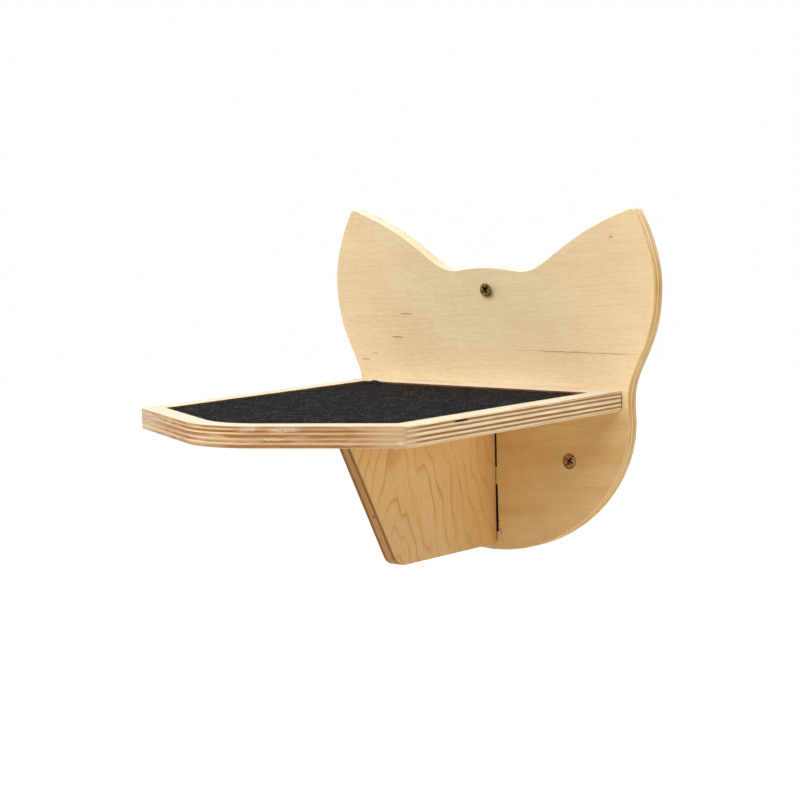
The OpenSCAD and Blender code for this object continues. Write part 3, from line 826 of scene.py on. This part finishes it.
def make_carpet():
    """The inlay: a fine grid cut to the pocket's plan, with relief, a worn border and a skirt."""
    outline = carpet_outline()
    mesh = bmesh.new()
    size = (CARPET_HIGH - CARPET_LOW) / 2
    bmesh.ops.create_grid(mesh, x_segments=CARPET_CELLS[0], y_segments=CARPET_CELLS[1], size=1.0)
    bmesh.ops.scale(mesh, verts=mesh.verts, vec=(size.x + MM, size.y + MM, 1))
    bmesh.ops.translate(mesh, verts=mesh.verts, vec=(CARPET_HIGH + CARPET_LOW) / 2)
    lines = trim_to(mesh, outline)
    for vert in mesh.verts:
        inside = min((start - vert.co).xy.dot(outward.xy) for start, outward in lines) / MM
        worn = BORDER_WEAR * max(0.0, 1 - inside / 0.9) ** 2
        vert.co.z = CARPET_HIGH.z + (nap_height(vert.co.x / MM, vert.co.y / MM) - worn) * MM
    border = [e for e in mesh.edges if e.is_boundary]
    skirt = bmesh.ops.extrude_edge_only(mesh, edges=border)["geom"]
    lower = [g for g in skirt if isinstance(g, bmesh.types.BMVert)]
    for vert in lower:
        vert.co.z = CARPET_LOW.z
    open_edges = [g for g in skirt if isinstance(g, bmesh.types.BMEdge) and g.is_boundary]
    bmesh.ops.holes_fill(mesh, edges=open_edges, sides=0)
    bmesh.ops.recalc_face_normals(mesh, faces=mesh.faces)
    flat_area = sum(f.calc_area() for f in mesh.faces if len(f.verts) > 100)
    felt = carpet_felt("carpet_felt", dark=(0.006, 0.0053, 0.0056), light=(0.034, 0.0303, 0.0312),
                       specks=0.8)
    carpet = make_piece("carpet_inlay", mesh, [felt], "carpet", "carpet_pad")
    fluff = make_fluff(outline)


def make_tuft(chance):
    """A few loose fibre ends, as a mesh to be repeated."""
    tuft = bmesh.new()
    for _ in range(TUFT_STRANDS):
        strand = bmesh.ops.create_grid(tuft, x_segments=3, y_segments=1, size=0.5)["verts"]
        length, width = chance.uniform(0.7, 2.2), chance.uniform(0.06, 0.13)
        rise, bend = chance.uniform(0.1, 0.7), chance.uniform(-0.5, 0.5)
        for vert in strand:
            run = vert.co.x + 0.5
            vert.co = Vector((run * length, vert.co.y * width * (1 - 0.6 * run) + bend * run * run,
                              rise * math.sin(run * 2.6)))
        turn = Matrix.Rotation(chance.uniform(0, math.tau), 4, "Z")
        place = Matrix.Translation((chance.uniform(-4, 4), chance.uniform(-4, 4), -0.04))
        bmesh.ops.transform(tuft, matrix=place @ turn, verts=strand)
    bmesh.ops.scale(tuft, verts=tuft.verts, vec=(MM, MM, MM))
    pattern = bpy.data.meshes.new("tuft")
    tuft.to_mesh(pattern)
    tuft.free()
    return pattern


def make_fluff(outline):
    """Loose fibre ends that stand off the carpet."""
    chance = random.Random(7)
    pattern = make_tuft(chance)
    fluff = bmesh.new()
    across, along = CARPET_HIGH.x - CARPET_LOW.x, CARPET_HIGH.y - CARPET_LOW.y
    for column in range(TUFT_COLUMNS):
        for row in range(TUFT_ROWS):
            start = len(fluff.verts)
            fluff.from_mesh(pattern)
            fluff.verts.ensure_lookup_table()
            centre = Vector((CARPET_LOW.x + across * (column + chance.uniform(0.2, 0.8)) / TUFT_COLUMNS,
                             CARPET_LOW.y + along * (row + chance.uniform(0.2, 0.8)) / TUFT_ROWS,
                             CARPET_HIGH.z))
            turn = Matrix.Translation(centre) @ Matrix.Rotation(chance.uniform(0, math.tau), 4, "Z")
            bmesh.ops.transform(fluff, matrix=turn, verts=fluff.verts[start:])
    bpy.data.meshes.remove(pattern)
    trim_to(fluff, outline, spare=0.1)
    for vert in fluff.verts:
        vert.co.z += nap_height(vert.co.x / MM, vert.co.y / MM) * MM
    felt = carpet_felt("carpet_fibres", dark=(0.004, 0.0035, 0.0035), light=(0.25, 0.232, 0.235),
                       specks=0.9, fine=0.8, contrast=(0.5, 0.6))
    return make_piece("carpet_fluff", fluff, [felt], "carpet")


def recess_arm(turn):
    """One tapering arm of the cross recess, turned about the screw, as a shape to cut away."""
    arm = bmesh.new()
    bmesh.ops.create_cube(arm, size=1.0)
    for vert in arm.verts:
        deep = vert.co.y > 0
        length, width, level = RECESS_FLOOR if deep else RECESS_MOUTH
        vert.co = (vert.co.x * length * MM, level * MM, vert.co.z * width * MM)
    bmesh.ops.rotate(arm, verts=arm.verts, cent=(0, 0, 0),
                     matrix=Matrix.Rotation(math.radians(turn), 3, "Y"))
    return arm


def make_screw(name, node, turn, metal):
    """A countersunk wood screw with a cross recess and a real thread, head towards the room."""
    low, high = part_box(node)
    axis = Vector(((low.x + high.x) / 2, low.y, (low.z + high.z) / 2))
    mesh = bmesh.new()
    line = [mesh.verts.new((r * MM, y * MM, 0)) for r, y in SCREW_PROFILE]
    edges = [mesh.edges.new(pair) for pair in zip(line, line[1:])]
    bmesh.ops.spin(mesh, geom=line + edges, cent=(0, 0, 0), axis=(0, 1, 0), angle=math.tau, steps=40,
                   use_merge=True, use_duplicate=False)
    bmesh.ops.remove_doubles(mesh, verts=mesh.verts, dist=0.002 * MM)
    bmesh.ops.recalc_face_normals(mesh, faces=mesh.faces)
    piece = make_piece(name, mesh, [metal], "bronzed_steel", node)
    for quarter in (0, 90):
        cut_away(piece, recess_arm(turn + quarter))
    finished = bmesh.new()
    finished.from_mesh(piece.data)
    add_thread(finished)
    bmesh.ops.translate(finished, verts=finished.verts, vec=axis)
    for face in finished.faces:
        face.smooth = True
    finished.to_mesh(piece.data)
    finished.free()
    crisp(piece, angle=30)


def add_thread(mesh):
    """Winds a tapering thread round a screw's core, right-handed, down to its point."""
    before = set(mesh.verts)
    ridge = ((THREAD_ROOT, THREAD_START), (THREAD_CREST, THREAD_START + THREAD_WIDTH / 2),
             (THREAD_ROOT, THREAD_START + THREAD_WIDTH))
    corners = [mesh.verts.new((r * MM, y * MM, 0)) for r, y in ridge]
    face = mesh.faces.new(corners)
    count = int((THREAD_TIP - THREAD_START - THREAD_WIDTH) / THREAD_PITCH * THREAD_STEPS)
    bmesh.ops.spin(mesh, geom=corners + list(face.edges) + [face], cent=(0, 0, 0), axis=(0, 1, 0),
                   dvec=(0, THREAD_PITCH / THREAD_STEPS * MM, 0), angle=math.tau * count / THREAD_STEPS,
                   steps=count, use_duplicate=False)
    wound = [v for v in mesh.verts if v not in before]
    for vert in wound:
        depth = vert.co.y / MM
        radius = math.hypot(vert.co.x, vert.co.z) / MM
        grown = min(1.0, (depth - THREAD_START) / 2.2)
        kept = min(1.0, max(0.0, (THREAD_TIP - depth) / (THREAD_TIP - THREAD_FULL)))
        wanted = (THREAD_ROOT + (radius - THREAD_ROOT) * grown) * kept
        vert.co.x *= wanted / radius
        vert.co.z *= wanted / radius
    thread_faces = [f for f in mesh.faces if all(v not in before for v in f.verts)]
    bmesh.ops.recalc_face_normals(mesh, faces=thread_faces)


def make_screws():
    # Painted reflections: one bronzed steel in two colours, darker on the upper screw for the dark
    # surroundings it reflects, paler on the lower ones for the bracket's tan face they reflect
    metal_with_dark_reflection = bronzed_metal("dark_bronzed_steel", dark=(0.02, 0.012, 0.004), light=(0.3, 0.22, 0.1), rough=0.2)
    metal_with_tan_reflection = bronzed_metal("bronzed_steel", dark=(0.15, 0.09, 0.04), light=(0.5, 0.34, 0.18), rough=0.33)
    make_screw("upper_screw", "upper_wall_screw", turn=45, metal=metal_with_dark_reflection)
    make_screw("lower_left_screw", "lower_left_wall_screw", turn=12, metal=metal_with_tan_reflection)
    make_screw("lower_right_screw", "lower_right_wall_screw", turn=30, metal=metal_with_tan_reflection)


def seen_plain(tree):
    """1 for rays that show the background: straight to the camera, mirrored or through glass."""
    path = tree.nodes.new("ShaderNodeLightPath").outputs
    seen = path["Is Camera Ray"]
    for other in ("Is Glossy Ray", "Is Transmission Ray"):
        either = tree.nodes.new("ShaderNodeMath")
        either.operation = "MAXIMUM"
        tree.links.new(seen, either.inputs[0])
        tree.links.new(path[other], either.inputs[1])
        seen = either.outputs[0]
    return seen


def set_up_world():
    """Plain light from all sides, which shows as white to the camera."""
    world = bpy.data.worlds.new("studio")
    world.use_nodes = True
    bpy.context.scene.world = world
    tree = world.node_tree
    soft = tree.nodes["Background"]
    soft.inputs["Color"].default_value = (*WORLD_LIGHT, 1)
    white = tree.nodes.new("ShaderNodeBackground")
    white.inputs["Color"].default_value = (1, 1, 1, 1)
    blend = tree.nodes.new("ShaderNodeMixShader")
    tree.links.new(seen_plain(tree), blend.inputs[0])
    tree.links.new(soft.outputs[0], blend.inputs[1])
    tree.links.new(white.outputs[0], blend.inputs[2])
    tree.links.new(blend.outputs[0], tree.nodes["World Output"].inputs["Surface"])


def set_up_lamp(name, place, size, power, colour):
    light = bpy.data.lights.new(name, "AREA")
    light.shape = "DISK"
    light.size = size
    light.energy = power
    light.color = colour
    lamp = bpy.data.objects.new(name, light)
    lamp.location = place
    lamp.rotation_euler = (Vector((0, -0.1, 0)) - Vector(place)).to_track_quat("-Z", "Y").to_euler()
    bpy.context.scene.collection.objects.link(lamp)


def set_up_floor():
    """A pale floor far below the step, near white to the camera, with the step's shadow on it."""
    mesh = bmesh.new()
    bmesh.ops.create_grid(mesh, x_segments=1, y_segments=1, size=FLOOR_HALF)
    bmesh.ops.translate(mesh, verts=mesh.verts, vec=(0, 0, FLOOR_HEIGHT))
    data = bpy.data.meshes.new("floor")
    mesh.to_mesh(data)
    mesh.free()
    floor = bpy.data.objects.new("floor", data)
    bpy.context.scene.collection.objects.link(floor)
    recipe = Recipe("floor_paint", Roughness=0.9)
    cloud = recipe.noise(recipe.times(recipe.millimetres(), (0.002, 0.002, 0.002)), detail=2)
    recipe.colour(recipe.mix(cloud, (0.83, 0.82, 0.8), (0.86, 0.85, 0.83)))
    glow = recipe.tree.nodes.new("ShaderNodeEmission")
    far = recipe.node("VectorMath", Vector=recipe.node("TexCoord").outputs["Object"])
    far.operation = "LENGTH"
    recipe.feed(glow.inputs["Strength"], recipe.step(far.outputs["Value"], GLOW_NEAR, GLOW_FAR, 0.68, 1.0))
    dim = recipe.tree.nodes.new("ShaderNodeMixShader")
    dim.inputs[0].default_value = 0.45
    recipe.feed(dim.inputs[2], recipe.surface.outputs[0])
    both = recipe.tree.nodes.new("ShaderNodeAddShader")
    recipe.feed(both.inputs[0], dim.outputs[0])
    recipe.feed(both.inputs[1], glow.outputs[0])
    blend = recipe.tree.nodes.new("ShaderNodeMixShader")
    recipe.feed(blend.inputs[0], seen_plain(recipe.tree))
    recipe.feed(blend.inputs[1], recipe.surface.outputs[0])
    recipe.feed(blend.inputs[2], both.outputs[0])
    recipe.feed(recipe.tree.nodes["Material Output"].inputs["Surface"], blend.outputs[0])
    data.materials.append(recipe.material)


set_up_camera()
set_up_world()
for lamp in LAMPS:
    set_up_lamp(*lamp)
set_up_floor()
make_plate()
make_shelf()
make_bracket()
make_carpet()
make_screws()
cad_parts["pad_adhesive"].material_slots[0].material = film_plastic()

bpy.context.scene.view_settings.view_transform = "Standard"
